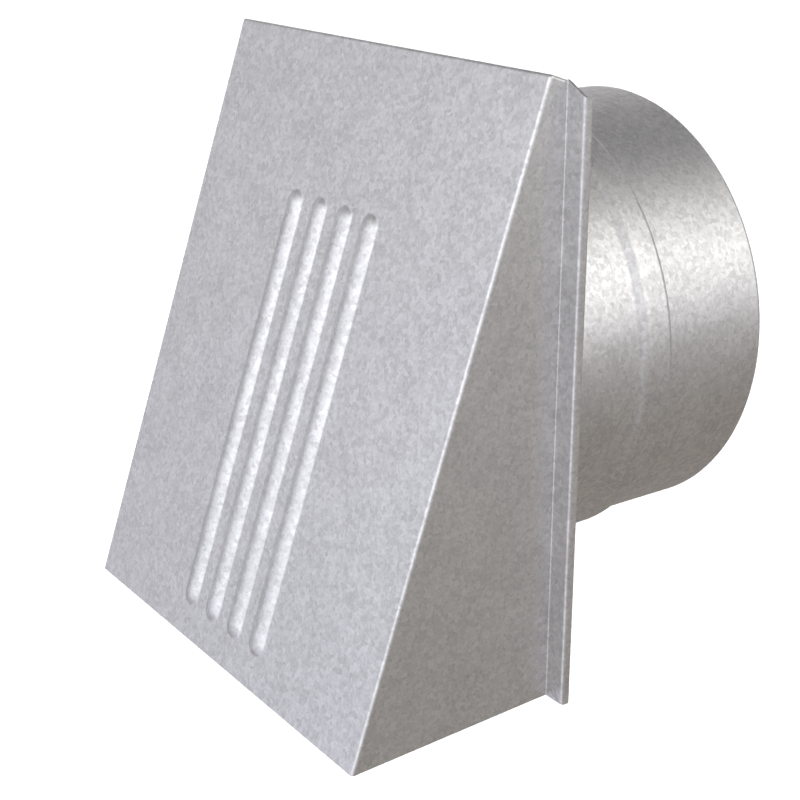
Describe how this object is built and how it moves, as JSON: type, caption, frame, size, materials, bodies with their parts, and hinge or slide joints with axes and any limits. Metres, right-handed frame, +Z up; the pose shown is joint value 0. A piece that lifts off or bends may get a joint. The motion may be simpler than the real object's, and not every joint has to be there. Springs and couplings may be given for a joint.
{
  "type": "extract air valve",
  "caption": "Wall-mounted extract air valve: a sloping folded sheet-metal hood, open below, with pressed ribs and hemmed side flanges, on a round duct spigot with a hinged gravity flap.",
  "frame": {"origin": "where the duct's axis meets the wall, at the back of the side hems", "axes": "+Y along the duct into the wall, +Z up, +X to the right seen from in front of the wall"},
  "size_m": [0.1538, 0.1407, 0.1633],
  "materials": {
    "galvanised_steel": "hot-dip galvanised, fine soft spangle",
    "flap_aluminium": "mill finish",
    "pin_steel": "drawn wire, zinc plated"
  },
  "bodies": {
    "casing": {"hood": "galvanised_steel", "back_plate": "galvanised_steel", "collar": "galvanised_steel", "duct_tube": "galvanised_steel", "flap_seat": "galvanised_steel", "hinge_pin": "pin_steel"},
    "flap": {"flap": "flap_aluminium"}
  },
  "joints": [
    {"name": "flap_hinge", "type": "hinge", "parent": "casing", "child": "flap", "pos_m": [0, 0.05342, 0.04605], "axis": [-1, 0, 0], "range_deg": [0, 45]}
  ]
}
